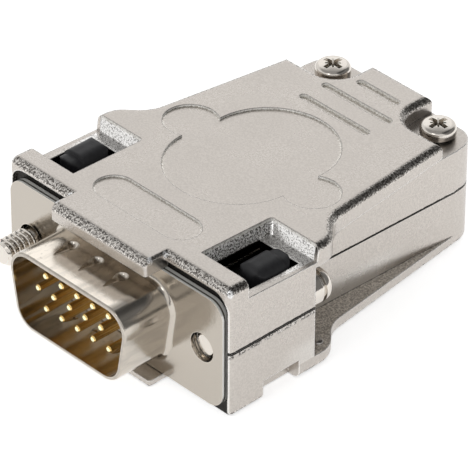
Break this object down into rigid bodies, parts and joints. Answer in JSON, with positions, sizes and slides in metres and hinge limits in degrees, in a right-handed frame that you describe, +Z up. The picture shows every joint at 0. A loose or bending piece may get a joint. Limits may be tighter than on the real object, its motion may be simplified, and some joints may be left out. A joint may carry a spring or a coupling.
{
  "type": "d-sub connector",
  "caption": "Straight cable plug with a D-shaped shell round three rows of pins, in a two-part cast metal hood with captive jackscrews.",
  "frame": {"origin": "under the middle of the part's box, on the plane that its underside rests on", "axes": "+X across the connector, +Y from the plug towards the cable entry, +Z up through the wide side of the D"},
  "size_m": [0.0318, 0.0464, 0.0155],
  "materials": {
    "cast_nickel": "nickel-plated casting, satin",
    "tinned_shell": "tin-plated drawn sheet",
    "insulator": "moulded",
    "gold_contact": "gold-plated",
    "screw_nickel": "nickel-plated, turned",
    "clamp_steel": "zinc-plated",
    "black_nylon": "moulded, satin"
  },
  "bodies": {
    "connector": {"upper_hood": "cast_nickel", "lower_hood": "cast_nickel", "plug_shell": "tinned_shell", "back_shell": "tinned_shell", "front_insulator": "insulator", "rear_insulator": "insulator", "retainer_left": "black_nylon", "retainer_right": "black_nylon", "cable_clamp": "clamp_steel", "cover_screw_left": "screw_nickel", "cover_screw_right": "screw_nickel", "clamp_screw_left": "clamp_steel", "clamp_screw_right": "clamp_steel", "contact_01": "gold_contact", "contact_02": "gold_contact", "contact_03": "gold_contact", "contact_04": "gold_contact", "contact_05": "gold_contact", "contact_06": "gold_contact", "contact_07": "gold_contact", "contact_08": "gold_contact", "contact_09": "gold_contact", "contact_10": "gold_contact", "contact_11": "gold_contact", "contact_12": "gold_contact", "contact_13": "gold_contact", "contact_14": "gold_contact", "contact_15": "gold_contact"},
    "left_screw": {"jackscrew_left": "screw_nickel"},
    "right_screw": {"jackscrew_right": "screw_nickel"}
  },
  "joints": [
    {"name": "left_screw_slide", "type": "slide", "parent": "connector", "child": "left_screw", "axis": [0, 1, 0], "range_m": [0, 0.0045]},
    {"name": "right_screw_slide", "type": "slide", "parent": "connector", "child": "right_screw", "axis": [0, 1, 0], "range_m": [-0.0045, 0]}
  ]
}
